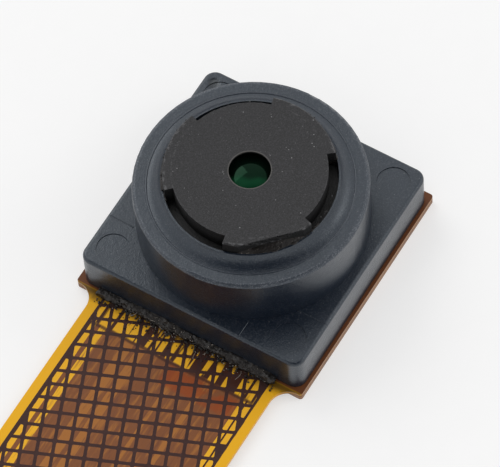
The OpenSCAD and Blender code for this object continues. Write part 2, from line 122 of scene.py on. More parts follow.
back = Vector((math.sin(AZIMUTH) * math.cos(ELEVATION),
               -math.cos(AZIMUTH) * math.cos(ELEVATION), math.sin(ELEVATION)))
level = Vector((math.cos(AZIMUTH), math.sin(AZIMUTH), 0))
upright = back.cross(level)
right = math.cos(ROLL) * level + math.sin(ROLL) * upright
up = math.cos(ROLL) * upright - math.sin(ROLL) * level
aim = Vector((0, 0, holder_low.z)) + AIM_RIGHT * right + AIM_UP * up

camera_data = bpy.data.cameras.new("long_lens")
camera_data.sensor_width = 36
camera_data.lens = LENS
camera_data.clip_start = 0.01
camera_data.clip_end = 10
camera = bpy.data.objects.new("long_lens", camera_data)
bpy.context.scene.collection.objects.link(camera)
bpy.context.scene.camera = camera
turned = Matrix((right, up, back)).transposed().to_4x4()
camera.matrix_world = Matrix.Translation((aim + DISTANCE * back) * MM) @ turned
print("camera at", [round(v, 4) for v in camera.matrix_world.translation])

# %% [markdown]
# ## Shader maths as plain expressions
# A finish is a network of nodes. Wiring dozens of Math nodes by hand is slow and hard to read, so
# a small class wraps a socket and lets Python's own operators add the nodes. `1 - mask` and
# `mask * 0.3 + grain` then read like the sums they are. Everything that isn't plain maths goes
# through one method, `node`, which takes the node's type, its settings, and what feeds it.

# %% A socket that can be added and multiplied
class Sock:
    """One output of a shader node. Python's operators on it add Math nodes."""

    def __init__(self, finish, socket):
        self.finish = finish
        self.socket = socket

    def maths(self, operation, *values):
        return self.finish.node("ShaderNodeMath", {"operation": operation}, dict(enumerate(values)))

    def __add__(self, other):
        return self.maths("ADD", self, other)

    def __sub__(self, other):
        return self.maths("SUBTRACT", self, other)

    def __mul__(self, other):
        return self.maths("MULTIPLY", self, other)

    def __truediv__(self, other):
        return self.maths("DIVIDE", self, other)

    def __pow__(self, other):
        return self.maths("POWER", self, other)

    def __radd__(self, other):
        return self.maths("ADD", other, self)

    def __rsub__(self, other):
        return self.maths("SUBTRACT", other, self)

    def __rmul__(self, other):
        return self.maths("MULTIPLY", other, self)

    def __abs__(self):
        return self.maths("ABSOLUTE", self)

    def sine(self):
        return self.maths("SINE", self)

# %% A finish, and the one method that adds its nodes
class Finish:
    """A material, built up node by node around one Principled surface."""

    def __init__(self, name):
        self.material = bpy.data.materials.new(name)
        self.material.use_nodes = True
        self.tree = self.material.node_tree
        self.surface = self.tree.nodes["Principled BSDF"]
        self.place = self.node("ShaderNodeVectorMath", {"operation": "SCALE"},
                               {0: self.node("ShaderNodeTexCoord", out="Object"),
                                "Scale": 1 / MM})
        split = self.node("ShaderNodeSeparateXYZ", {}, {0: self.place}).socket.node
        self.x, self.y, self.z = (Sock(self, split.outputs[i]) for i in range(3))

    def feed(self, socket, value):
        """Links a Sock to a socket, or sets a plain value on it."""
        if isinstance(value, Sock):
            self.tree.links.new(value.socket, socket)
        elif value is not None:
            socket.default_value = value

    def node(self, kind, settings=None, values=None, out=0):
        """Adds a node: its settings first, then the values or links of its sockets."""
        made = self.tree.nodes.new(kind)
        for name, value in (settings or {}).items():
            if name == "stops":
                ramp = made.color_ramp
                while len(ramp.elements) < len(value):
                    ramp.elements.new(1.0)
                for element, (position, colour) in zip(ramp.elements, value):
                    element.position = position
                    element.color = (*colour, 1.0)
            else:
                setattr(made, name, value)
        for key, value in (values or {}).items():
            self.feed(made.inputs[key], value)
        return Sock(self, made.outputs[out]) if made.outputs else made

    def set(self, **constants):
        """Sets constants on the surface, such as ior=1.5."""
        for name, value in constants.items():
            self.surface.inputs[name.replace("_", " ").title().replace("Ior", "IOR")].default_value = value

print("shader helpers ready")

# %% [markdown]
# ## Patterns that every finish shares
# Real surfaces are never one flat colour. Three patterns cover nearly all of this object: soft
# noise of a chosen size for mottling and grain, sharp random specks for dust and bright grains,
# and soft-edged bands for lines and borders. Each is written once here, in millimetres.

# %% Noise, specks, bands and mixes
def noise(f, size, detail=2.0, seed=0.0, place=None):
    """Soft noise from 0 to 1 whose blotches are about size millimetres."""
    return f.node("ShaderNodeTexNoise", {"noise_dimensions": "4D"},
                  {"Vector": place or f.place, "W": seed, "Scale": 1 / size, "Detail": detail})

def smooth(f, value, low, high):
    """0 below low, 1 above high, and a soft step between. Low may be above high."""
    return f.node("ShaderNodeMapRange", {"interpolation_type": "SMOOTHSTEP"},
                  {"Value": value, "From Min": low, "From Max": high})

def band(f, value, low, high, soft):
    """1 between low and high, with soft edges."""
    return smooth(f, value, low - soft, low + soft) * smooth(f, value, high + soft, high - soft)

def line(f, value, at, half):
    """1 on a fine line at a value, half is half its width."""
    return band(f, value, at - half, at + half, half)

def stretched(f, across, along, up):
    """Place with each direction scaled, so that a noise on it is drawn out."""
    return f.node("ShaderNodeCombineXYZ", {}, {0: f.x * across, 1: f.y * along, 2: f.z * up})

def specks(f, size, share, seed):
    """Round specks of about size millimetres. Share is the part of the grid cells that hold one."""
    cells = f.node("ShaderNodeTexVoronoi", {"voronoi_dimensions": "4D"},
                   {"Vector": f.place, "W": seed, "Scale": 0.5 / size})
    chance = f.node("ShaderNodeSeparateColor", {}, {0: Sock(f, cells.socket.node.outputs["Color"])})
    return smooth(f, cells, 0.42, 0.2) * smooth(f, chance, 1 - share, 1 - share + 0.02)

def mix(f, mask, first, second):
    """A colour that goes from first to second as mask goes from 0 to 1."""
    return f.node("ShaderNodeMix", {"data_type": "RGBA"},
                  {0: mask, 6: colour(first), 7: colour(second)}, out=2)

def colour(value):
    """A colour socket as it is, or a triple of numbers with its alpha added."""
    return value if isinstance(value, Sock) else (*value, 1.0)

def bump(f, height, depth, under=None):
    """Relief from a height of 0 to 1, depth millimetres deep."""
    return f.node("ShaderNodeBump", {}, {"Height": height, "Distance": depth * MM,
                                         "Strength": 1.0, "Normal": under})

def radius(f):
    """Distance from the optical axis, in millimetres."""
    return (f.x * f.x + f.y * f.y) ** 0.5

def wear(f, base, rough, relief=None):
    """Feeds the surface: its colour, its roughness and its relief."""
    f.feed(f.surface.inputs["Base Color"], base)
    f.feed(f.surface.inputs["Roughness"], rough)
    f.feed(f.surface.inputs["Normal"], relief)
    return f.material

print("pattern helpers ready")

# %% [markdown]
# ## The moulded holder
# The holder is injection moulded from a filled black plastic. It reads as dark blue-grey, satin,
# with a fine glittering grain. Its top carries the marks of its mould: round ejector pins, which
# the CAD model has, and hairlines where mould inserts met, which are too fine for CAD. Those are
# drawn here as narrow bands of relief. The light caught on the turret's rounded rim edge is a painted
# highlight, a paler speckled band, and a thin painted highlight marks the edge of the ring groove.

# %% Finish of the holder
SIDE_LINE_Y = -2.355
FRONT_LINE_X = 1.945
HALF_LINE = 0.015
GATE_X, GATE_Y = -3.82, 3.75

def holder_plastic():
    f = Finish("holder_plastic")
    r = radius(f)
    on_base = (smooth(f, f.z, base_top + 0.08, base_top + 0.03)
               * smooth(f, f.z, base_top - 0.17, base_top - 0.07))
    side_line = (line(f, f.y + 0.05 * noise(f, 0.8), SIDE_LINE_Y, HALF_LINE)
                 * smooth(f, r, TURRET_R + 0.02, TURRET_R + 0.07))
    front_line = line(f, f.x, FRONT_LINE_X, HALF_LINE) * smooth(f, f.y, -3.5, -3.6)
    hairline = (side_line + front_line) * on_base
    from_gate = ((f.x - GATE_X) ** 2.0 + (f.y - GATE_Y) ** 2.0) ** 0.5
    gate = smooth(f, from_gate, 0.26, 0.1) * on_base
    # Painted highlight: the rounded edge of the rim is drawn as a paler, speckled band, for the light it
    # catches.
    rim = band(f, r, TURRET_R - 0.13, TURRET_R + 0.17, 0.03) * smooth(f, f.z, rim_z - 0.17, rim_z - 0.07)
    # Painted highlight: a thin pale line along the edge of the ring groove, for the light that edge
    # catches.
    ring_groove_highlight = band(f, r, RING_R - 0.05, RING_R, 0.025) * smooth(f, f.z, rim_z - 0.12, rim_z - 0.04)
    mottling = noise(f, 0.9, 3.0, 2.0)
    grain = noise(f, 0.045, 2.0, 5.0)
    base = mix(f, mottling, (0.003, 0.007, 0.016), (0.009, 0.016, 0.03))
    base = mix(f, smooth(f, grain, 0.45, 0.75) * 0.75, base, (0.05, 0.056, 0.07))
    base = mix(f, rim * (0.2 + 0.8 * smooth(f, grain, 0.5, 0.65)), base, (0.11, 0.12, 0.14))
    base = mix(f, ring_groove_highlight * 0.35, base, (0.075, 0.082, 0.1))
    base = mix(f, specks(f, 0.03, 0.05, 3.0) * 0.6, base, (0.16, 0.165, 0.175))
    base = mix(f, gate * 0.8, base, (0.006, 0.006, 0.007))
    f.set(specular_ior_level=0.72, specular_tint=(0.88, 0.95, 1.0, 1.0))
    rough = 0.25 + 0.12 * noise(f, 0.5, 3.0, 8.0) + 0.12 * rim
    relief = bump(f, grain, 0.01)
    relief = bump(f, noise(f, 0.2, 2.0, 9.0), 0.008, relief)
    relief = bump(f, 1 - hairline, 0.012, relief)
    relief = bump(f, 1 - gate, 0.03, relief)
    return wear(f, base, rough, relief)

# %% [markdown]
# ## The lens barrel
# The barrel is another plastic, a neutral matte black. Its face is eroded so that it reflects
# nothing into the picture, and that grain glitters with tiny bright points. The grain is fine
# relief, and the points are specks of paler colour, because relief that small would shimmer.

# %% Finish of the barrel
def barrel_plastic():
    f = Finish("barrel_plastic")
    r = radius(f)
    face = smooth(f, f.z, face_z - 0.06, face_z - 0.02)
    grain = noise(f, 0.05, 3.0, 1.0)
    points = specks(f, 0.022, 0.16, 4.0)
    rare = specks(f, 0.03, 0.03, 6.0)
    worn = smooth(f, noise(f, 0.12, 3.0, 7.0), 0.5, 0.62)
    edge = band(f, r, HEAD_R - 0.1, HEAD_R + 0.07, 0.03)
    edge = edge + band(f, r, NOTCH_R - 0.03, NOTCH_R + 0.02, 0.02) * 0.5
    # Painted highlight: a pale ring round the aperture stands for the glint on its small chamfer.
    aperture_edge_highlight = band(f, r, APERTURE_R - 0.01, APERTURE_R + 0.03, 0.012) * face
    base = mix(f, smooth(f, grain, 0.38, 0.68), (0.002, 0.002, 0.003), (0.026, 0.0255, 0.029))
    base = mix(f, points * face * 0.55, base, (0.13, 0.13, 0.14))
    base = mix(f, rare * face * 0.8, base, (0.42, 0.42, 0.43))
    base = mix(f, face, (0.002, 0.002, 0.0025), base)
    base = mix(f, edge * face * worn * 0.35, base, (0.2, 0.2, 0.21))
    base = mix(f, aperture_edge_highlight * 0.5, base, (0.16, 0.15, 0.14))
    rough = 0.46 + 0.2 * grain
    relief = bump(f, grain, 0.02)
    relief = bump(f, noise(f, 0.35, 2.0, 3.0), 0.008, relief)
    return wear(f, base, rough, relief)

# %% [markdown]
# ## The lenses, the stops and the filter
# Only the first lens is seen, deep in its hole. It looks dark green, because its coating reflects
# green and swallows the rest, and the inside of the barrel behind it is black. A dark body with a
# green-tinted gloss says the same without real refraction, which would only show a black room.
# The inner lenses are clear, and the filter has the pink cast of its own coating.

# %% Finishes of the optical parts
def coated_lens():
    f = Finish("coated_lens")
    r = radius(f)
    swirl = noise(f, 0.5, 2.0, 1.0)
    base = mix(f, swirl, (0.0008, 0.003, 0.002), (0.002, 0.007, 0.004))
    # Painted reflection: a paler green patch on the lens's near side stands for the white room mirrored in
    # its coating.
    near = smooth(f, f.y - 0.5 * f.x + 0.15 * swirl, 0.02, -0.22)
    base = mix(f, near * smooth(f, r, 0.05, 0.4) * 0.85, base, (0.004, 0.05, 0.02))
    f.set(ior=1.6, specular_ior_level=0.12, specular_tint=(0.3, 1.0, 0.55, 1.0))
    return wear(f, base, 0.06 + 0.05 * swirl)

def clear_lens():
    f = Finish("clear_lens")
    haze = noise(f, 1.2, 2.0, 2.0)
    f.set(ior=1.55, transmission_weight=0.85, specular_tint=(0.7, 0.85, 1.0, 1.0))
    return wear(f, mix(f, haze, (0.72, 0.82, 0.86), (0.85, 0.92, 0.94)), 0.03 + 0.04 * haze)

def filter_glass():
    f = Finish("filter_glass")
    haze = noise(f, 1.5, 2.0, 4.0)
    f.set(ior=1.52, transmission_weight=0.6, specular_tint=(1.0, 0.55, 0.75, 1.0))
    return wear(f, mix(f, haze, (0.42, 0.18, 0.3), (0.55, 0.28, 0.4)), 0.03 + 0.05 * haze)

def black_film():
    f = Finish("black_film")
    grain = noise(f, 0.06, 3.0, 2.0)
    return wear(f, mix(f, grain, (0.008, 0.008, 0.009), (0.02, 0.02, 0.021)), 0.55 + 0.2 * grain,
                bump(f, grain, 0.004))

# %% [markdown]
# ## The sensor and its small parts
# Under the filter lies the silicon die. Its light-catching area is a dark, faintly coloured field
# with a fine grid, and paler logic lies round it. The capacitors are brown ceramic with tinned
# ends. One finish can paint body and ends alike, by how far a point is from the block's middle.

# %% Finishes of the silicon, the gold and the capacitors
sensor_low, sensor_high = corners("image_sensor")
capacitor_end = corners("bypass_capacitors")[1].x

CAPACITOR_L = 0.6

def silicon():
    f = Finish("silicon")
    half = (sensor_high - sensor_low) / 2
    field = (smooth(f, abs(f.x), half.x - 0.38, half.x - 0.42)
             * smooth(f, abs(f.y), half.y - 0.3, half.y - 0.34))
    lines = 0.25 + 0.25 * (f.x * 60.0).sine()
    blocks = smooth(f, noise(f, 0.25, 1.0, 3.0), 0.45, 0.55)
    logic = mix(f, blocks, (0.09, 0.085, 0.1), (0.2, 0.17, 0.15))
    array = mix(f, lines, (0.015, 0.03, 0.04), (0.04, 0.05, 0.075))
    return wear(f, mix(f, field, logic, array), 0.18 + 0.15 * blocks, bump(f, blocks, 0.002))

def gold():
    f = Finish("gold")
    brushed = noise(f, 0.05, 3.0, 2.0)
    f.set(metallic=1.0)
    return wear(f, mix(f, brushed, (0.72, 0.47, 0.16), (0.95, 0.7, 0.32)), 0.2 + 0.2 * brushed,
                bump(f, brushed, 0.003))

def capacitor_ceramic():
    f = Finish("capacitor_ceramic")
    from_middle = abs(abs(f.x) - (capacitor_end - CAPACITOR_L / 2))
    end = smooth(f, from_middle, 0.16, 0.19)
    grain = noise(f, 0.05, 3.0, 2.0)
    base = mix(f, grain, (0.24, 0.14, 0.07), (0.4, 0.26, 0.15))
    base = mix(f, end, base, (0.68, 0.66, 0.62))
    f.feed(f.surface.inputs["Metallic"], end)
    return wear(f, base, 0.5 - 0.15 * end + 0.1 * grain, bump(f, grain, 0.006))

# %% [markdown]
# ## Glue
# The black adhesive was squeezed out, wiped and left to set in workshop air. It is nearly black,
# wet-looking on its rounded tops and dull where dust has stuck to it. Gloss comes from a low
# roughness broken up by noise, and the dust is pale specks that thicken in patches.

# %% Finish of the glue
def black_glue():
    f = Finish("black_glue")
    lumps = noise(f, 0.12, 3.0, 1.0)
    dusty = smooth(f, noise(f, 0.5, 2.0, 2.0), 0.42, 0.62)
    dust = specks(f, 0.025, 0.22, 3.0) * (0.25 + 0.75 * dusty)
    base = mix(f, lumps, (0.006, 0.005, 0.005), (0.02, 0.016, 0.014))
    base = mix(f, dust * 0.6, base, (0.3, 0.27, 0.24))
    relief = bump(f, noise(f, 0.05, 3.0, 5.0), 0.015)
    relief = bump(f, lumps, 0.03, relief)
    return wear(f, base, 0.28 + 0.4 * dusty, relief)

# %% [markdown]
# ## The amber circuit film
# The film is two copper layers in clear amber plastic. The upper layer, the hatched ground plane,
# is a CAD part of its own. The lower one can only be seen through the hatch, so it is painted
# here on the film: bare amber along both edges, then bright stripes between dark ones, then a
# brown field of tracks that run along the tail. Close to the holder the tracks part and let more
# light through. A ramp across the tail's width holds the colours of those stripes, as a printed
# layer would, and streaks of noise stretched along the tail keep them from looking ruled.

# %% Stripes of the film's lower layer, across the tail
AMBER = (0.98, 0.50, 0.012)
BRIGHT = (0.98, 0.50, 0.02)
BROWN = (0.24, 0.085, 0.03)
DIM_BROWN = (0.17, 0.06, 0.03)
RUST = (0.42, 0.16, 0.035)
DARK = (0.06, 0.018, 0.01)
STRIPES = [(-9.0, AMBER), (-3.24, DARK), (-3.12, BRIGHT), (-2.93, BROWN), (-2.76, BRIGHT),
           (-2.56, BROWN), (-1.76, RUST), (-1.42, BROWN), (-1.26, RUST), (-0.95, BROWN),
           (0.3, RUST), (0.42, BROWN), (1.3, RUST), (1.5, BROWN),
           (2.72, BRIGHT), (2.89, DARK), (2.95, BRIGHT), (3.16, DARK), (3.24, AMBER)]

def stripe_paint(f, across, stripes, half_width=4.0):
    """Colour of the stripe that a point lies in, from its place across the tail."""
    stops = [(max(0.0, (start + half_width) / (2 * half_width)), tint) for start, tint in stripes]
    ramp = f.node("ShaderNodeValToRGB", {"stops": stops},
                  {0: (across + half_width) / (2 * half_width)})
    ramp.socket.node.color_ramp.interpolation = "CONSTANT"
    return ramp

def darker_by_holder(f):
    """Darker on the film next to the holder, with a ragged edge."""
    return smooth(f, base_front - f.y - 0.35 * (noise(f, 0.35, 3.0, 7.0) - 0.5), 0.6, 0.2)

print("stripes:", len(STRIPES))

# %% Finish of the film
def polyimide():
    f = Finish("polyimide")
    ahead = base_front - f.y
    on_hatch = smooth(f, abs(f.x), mesh_edge - 0.045, mesh_edge - 0.145)
    border = smooth(f, abs(f.x), mesh_edge - 0.045, mesh_edge + 0.015)
    under_module = smooth(f, ahead, 0.13, 0.05)
    streaks = noise(f, 1.0, 3.0, 1.0, stretched(f, 9.0, 1.1, 1.0))
    across = f.x + 0.04 * (noise(f, 0.4, 2.0, 2.0) - 0.5)
    field = smooth(f, abs(across), 2.72, 2.68)
    lower = stripe_paint(f, across, STRIPES)
    lower = mix(f, smooth(f, streaks, 0.5, 0.68) * field * 0.8, lower, RUST)
    lower = mix(f, smooth(f, streaks, 0.42, 0.3) * field * 0.7, lower, DIM_BROWN)
    near = smooth(f, ahead - 0.1 * (noise(f, 0.7, 2.0, 3.0) - 0.5), 1.21, 1.11)
    gaps = noise(f, 1.0, 1.0, 4.0, stretched(f, 5.2, 0.3, 0.0))
    fan = mix(f, smooth(f, gaps, 0.44, 0.5), DARK, BRIGHT)
    lower = mix(f, near * on_hatch, lower, fan)
    # Painted shade: a dark wavy line across the hatch, a shadow line painted into the film's colour.
    painted_shadow_line = band(f, ahead - 0.22 * (noise(f, 0.9, 2.0, 5.0) - 0.5), 1.15, 1.27, 0.04)
    lower = mix(f, painted_shadow_line * on_hatch * 0.85, lower, DARK)
    stain = band(f, ahead, 1.3, 2.05, 0.12) * band(f, f.x, 0.0, 2.7, 0.15)
    stain = stain * smooth(f, noise(f, 0.6, 2.0, 6.0), 0.35, 0.55)
    lower = mix(f, stain * 0.8, lower, (0.33, 0.06, 0.008))
    lower = mix(f, under_module, lower, (0.16, 0.055, 0.02))
    lower = mix(f, darker_by_holder(f) * 0.85 * (1 - under_module), lower, (0.02, 0.01, 0.006))
    below = smooth(f, f.z, film_low.z + 0.04, film_low.z + 0.02)
    plain = mix(f, streaks, (0.42, 0.17, 0.02), (0.6, 0.28, 0.025))
    base = mix(f, below * (1 - border), lower, plain)
    side = band(f, f.z, film_low.z + 0.03, film_top - 0.03, 0.01)
    base = mix(f, side * 0.5, base, (0.75, 0.33, 0.02))
    f.set(specular_ior_level=0.2)
    rough = 0.3 + 0.12 * noise(f, 0.6, 3.0, 8.0)
    relief = bump(f, noise(f, 0.25, 2.0, 9.0), 0.008)
    relief = bump(f, noise(f, 2.5, 1.0, 10.0), 0.03, relief)
    return wear(f, base, rough, relief)

# %% [markdown]
# ## Copper under the cover film
# The hatch lines are copper seen through amber plastic: dark chocolate brown with a purple cast,
# and as glossy as the film, since the film's cover runs over both. The tracks on the underside
# are brighter. Both vary slowly, and the hatch is made darker where it runs under the glue.

# %% Finishes of the copper layers and the stiffener plates
def copper_plane():
    f = Finish("copper_plane")
    slow = noise(f, 0.8, 3.0, 1.0)
    fine = noise(f, 0.08, 2.0, 2.0)
    base = mix(f, slow, (0.036, 0.0125, 0.011), (0.062, 0.024, 0.019))
    base = mix(f, smooth(f, fine, 0.55, 0.75) * 0.5, base, (0.09, 0.038, 0.03))
    base = mix(f, darker_by_holder(f) * 0.8, base, (0.012, 0.007, 0.005))
    f.set(specular_ior_level=0.2)
    return wear(f, base, 0.3 + 0.15 * fine, bump(f, noise(f, 0.12, 2.0, 9.0), 0.006))

def copper_track():
    f = Finish("copper_track")
    slow = noise(f, 0.7, 3.0, 1.0)
    return wear(f, mix(f, slow, (0.36, 0.13, 0.035), (0.55, 0.22, 0.06)), 0.25 + 0.15 * slow,
                bump(f, noise(f, 0.2, 2.0, 3.0), 0.005))

def laminate():
    f = Finish("laminate")
    layer = noise(f, 1.0, 2.0, 1.0, stretched(f, 1.0, 1.0, 18.0))
    weave = (f.x * 14.0).sine() * (f.y * 14.0).sine()
    base = mix(f, smooth(f, layer, 0.35, 0.65), (0.2, 0.085, 0.03), (0.37, 0.17, 0.065))
    base = mix(f, smooth(f, noise(f, 0.5, 3.0, 4.0), 0.5, 0.75) * 0.6, base, (0.12, 0.05, 0.022))
    return wear(f, base, 0.5 + 0.1 * layer, bump(f, 0.5 + 0.5 * weave, 0.006))

# %% [markdown]
# ## The connector
# The plug at the tail's end is the same on thousands of devices: a black moulded housing, two
# rows of gold contacts and two tinned plates that hold it down. The plastic is plain and matte.

# %% Finishes of the connector
def connector_plastic():
    f = Finish("connector_plastic")
    grain = noise(f, 0.05, 3.0, 1.0)
    base = mix(f, noise(f, 0.6, 2.0, 2.0), (0.012, 0.012, 0.014), (0.026, 0.026, 0.03))
    base = mix(f, specks(f, 0.03, 0.05, 3.0) * 0.4, base, (0.14, 0.14, 0.14))
    return wear(f, base, 0.42 + 0.2 * grain, bump(f, grain, 0.006))

def tinned_metal():
    f = Finish("tinned_metal")
    dull = noise(f, 0.15, 3.0, 1.0)
    f.set(metallic=1.0)
    return wear(f, mix(f, dull, (0.55, 0.53, 0.5), (0.75, 0.73, 0.7)), 0.3 + 0.2 * dull,
                bump(f, dull, 0.005))

# %% [markdown]
# ## Dressing the CAD parts
# Every CAD part now gets its finish by name. A finish that several parts share is built once.

# %% Give every CAD part its finish
FINISHES = {"lens_holder": holder_plastic, "lens_barrel": barrel_plastic,
            "lens_retainer": barrel_plastic, "front_lens": coated_lens,
            "middle_lens": clear_lens, "rear_lens": clear_lens, "front_spacer": black_film,
            "rear_spacer": black_film, "infrared_filter": filter_glass,
            "image_sensor": silicon, "bond_wires": gold, "connector_contacts": gold,
            "bypass_capacitors": capacitor_ceramic, "holder_adhesive": black_glue,
            "front_glue_bead": black_glue, "lens_lock_glue": black_glue,
            "flex_film": polyimide, "ground_mesh": copper_plane, "signal_traces": copper_track,
            "module_stiffener": laminate, "connector_stiffener": laminate,
            "connector_housing": connector_plastic, "connector_hold_downs": tinned_metal}
built = {}
for node, finish in FINISHES.items():
    if finish not in built:
        built[finish] = finish()
    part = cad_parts[node]
    part.data.materials.clear()
    part.data.materials.append(built[finish])
print("finishes:", len(built), "parts dressed:", len(FINISHES))

# %% [markdown]
# ## Modelling glue and dust
# The CAD glue is a plain rounded strip. The real one is a row of small dark grains and lumps that
# squeezed out and set, with pale dust and a few fibres caught on it. Such shapes could be
# sculpted by hand, but it is quicker and repeatable to let modifiers do it: a simple form is
# closed into one skin by Remesh, and Displace pushes that skin in and out by a cloud of noise.
# The pieces are tiny, and some of Blender's tools stop working well below a tenth of a
# millimetre, so everything is modelled a thousand times too large and brought down at the end.
# Glue sinks a little into what it sticks to, so that no gap shows under it.

# %% Helpers to start, lump and shrink a piece
SINK = 0.03

def begin(name, add, **settings):
    """Adds a primitive with nothing else selected, one unit to the millimetre."""
    bpy.ops.object.select_all(action="DESELECT")
    add(**settings)
    piece = bpy.context.object
    piece.name = name
    return piece

def only(piece):
    """Makes a piece the one selected and active object."""
    bpy.ops.object.select_all(action="DESELECT")
    piece.select_set(True)
    bpy.context.view_layer.objects.active = piece

def settle(piece):
    """Puts a piece's place, turn and size into its mesh."""
    only(piece)
    bpy.ops.object.transform_apply(location=True, rotation=True, scale=True)

def add_modifier(piece, kind, **settings):
    """Adds a modifier with its settings and applies it."""
    only(piece)
    modifier = piece.modifiers.new(kind.lower(), kind)
    for name, value in settings.items():
        setattr(modifier, name, value)
    bpy.ops.object.modifier_apply(modifier=modifier.name)

def clouds(size):
    """A cloud pattern for Displace, with lumps of about size millimetres."""
    pattern = bpy.data.textures.new("clouds", "CLOUDS")
    pattern.noise_scale = size
    return pattern

def lumpy(piece, skin, steps):
    """Closes a piece into one skin and pushes it about: steps are pairs of lump size and height."""
    add_modifier(piece, "REMESH", mode="VOXEL", voxel_size=skin)
    for size, height in steps:
        add_modifier(piece, "DISPLACE", texture=clouds(size), strength=height, mid_level=0.5,
                     texture_coords="LOCAL")

def shrink(piece, finish):
    """Brings a finished piece down to metres, dresses it and lets it ride on the module."""
    piece.location *= MM
    piece.scale *= MM
    settle(piece)
    bpy.ops.object.shade_smooth()
    piece.data.materials.clear()
    piece.data.materials.append(finish)
    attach(piece, "root")
    print(piece.name, "faces:", len(piece.data.polygons))

def cut_behind(piece, point, normal):
    """Cuts away what lies behind a plane and closes the cut."""
    only(piece)
    bpy.ops.object.mode_set(mode="EDIT")
    bpy.ops.mesh.select_all(action="SELECT")
    bpy.ops.mesh.bisect(plane_co=point, plane_no=normal, use_fill=True, clear_inner=True)
    bpy.ops.object.mode_set(mode="OBJECT")

# %% [markdown]
# ## The glue bead at the foot of the holder
# A cylinder laid along the foot of the front wall is cut by the film below it and by the wall
# behind it, so that a quarter of it is left, as a bead that has wetted both. Large soft lumps
# make its edge wander, and small ones make it granular. It takes the place of the CAD bead.

# %% Model the bead
BEAD_R = 0.24
BEAD_EXTRA = 0.35

bead = begin("glue_bead", bpy.ops.mesh.primitive_cylinder_add, vertices=24, radius=BEAD_R,
             depth=mesh_edge * 2 + BEAD_EXTRA, location=(-0.05, base_front, film_top),
             rotation=(0, math.pi / 2, 0))
settle(bead)
cut_behind(bead, (0, 0, film_top - SINK), (0, 0, 1))
cut_behind(bead, (0, base_front + SINK, 0), (0, -1, 0))
lumpy(bead, 0.03, [(0.6, 0.22), (0.16, 0.12), (0.07, 0.05)])
shrink(bead, built[black_glue])
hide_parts("front_glue_bead")

# %% [markdown]
# ## Grains of glue and specks of dust
# A few hundred loose grains lie along the bead, thick against the wall and thinner out on the
# film. One grain is modelled: a small ball, dented by noise. The rest are copies of it, each
# with its own mesh, size and turn. The random numbers start from a fixed seed, so that every run
# gives the same grains.

# %% Scatter helpers
chance = random.Random(11)

def grain_ball(name, dent):
    """One small dented ball, one unit across, as the model for all the copies."""
    ball = begin(name, bpy.ops.mesh.primitive_ico_sphere_add, subdivisions=2, radius=0.5)
    add_modifier(ball, "DISPLACE", texture=clouds(0.35), strength=dent, mid_level=0.5)
    return ball

def scatter(ball, spots):
    """Copies a ball to every spot, (place, size, turn), and joins the copies into one piece."""
    copies = []
    for place, size, turn in spots:
        copy = ball.copy()
        copy.data = ball.data.copy()
        bpy.context.scene.collection.objects.link(copy)
        copy.location = place
        copy.scale = size
        copy.rotation_euler = turn
        copies.append(copy)
    only(copies[0])
    for copy in copies:
        copy.select_set(True)
    bpy.ops.object.join()
    joined = bpy.context.object
    joined.name = ball.name.replace("_model", "")
    bpy.data.objects.remove(ball)
    settle(joined)
    return joined

def spot(place, size):
    """A copy's place, its size in three directions, flatter than it is wide, and its turn."""
    sizes = [size * chance.uniform(0.8, 1.25), size * chance.uniform(0.8, 1.25),
             size * chance.uniform(0.6, 0.9)]
    return place, sizes, [chance.uniform(0, math.tau) for _ in range(3)]

# %% Grains of glue along the foot
GRAIN_COUNT = 330
THICK_X = -1.3

spots = []
for _ in range(GRAIN_COUNT):
    across = chance.uniform(-mesh_edge - 0.25, mesh_edge + 0.2)
    spread = 0.24 + 0.16 * math.exp(-((across - THICK_X) / 1.5) ** 2)
    out = abs(chance.gauss(0, spread))
    size = chance.uniform(0.05, 0.13) * (1.15 - min(out, 0.6))
    rise = max(0.0, 0.2 - out * 0.9) * chance.random()
    spots.append(spot((across, base_front - SINK - out, film_top + size * 0.3 + rise), size))
grains = scatter(grain_ball("glue_grains_model", 0.35), spots)
shrink(grains, built[black_glue])

# %% Pale dust on the bead and the film
DUST_COUNT = 150

def dust():
    f = Finish("dust")
    tone = noise(f, 0.1, 2.0, 1.0)
    base = mix(f, tone, (0.2, 0.17, 0.14), (0.5, 0.46, 0.42))
    return wear(f, base, 0.8, bump(f, noise(f, 0.02, 2.0, 2.0), 0.004))

dust_finish = dust()
spots = []
for _ in range(DUST_COUNT):
    across = chance.choice((chance.uniform(-3.2, 3.2), chance.gauss(-0.6, 0.9), chance.gauss(1.2, 0.9)))
    out = abs(chance.gauss(0.12, 0.2))
    size = chance.uniform(0.018, 0.045)
    rise = max(0.0, 0.3 - out) * chance.random()
    spots.append(spot((across, base_front - SINK - out, film_top + size * 0.4 + rise), size))
dust_specks = scatter(grain_ball("dust_specks_model", 0.4), spots)
shrink(dust_specks, dust_finish)

# %% [markdown]
# ## Fibres
# Lint from a cloth or a brush always catches on glue. Each fibre is a smooth curve through a few
# points that wander a little, given a round thickness and then turned into a mesh.

# %% Model the fibres
FIBRE_POINTS = 7
FIBRE_RISE = 0.12
FIBRE_THICK = 0.016
# Place across, distance from the holder, first heading in radians and length of each fibre
FIBRES = [(3.05, 0.3, 0.35, 0.75), (2.2, 0.35, -0.4, 0.5), (-0.9, 0.3, 2.6, 0.6),
          (0.5, 0.45, -0.9, 0.45), (-2.1, 0.4, 0.9, 0.5), (1.5, 0.2, 1.9, 0.4)]

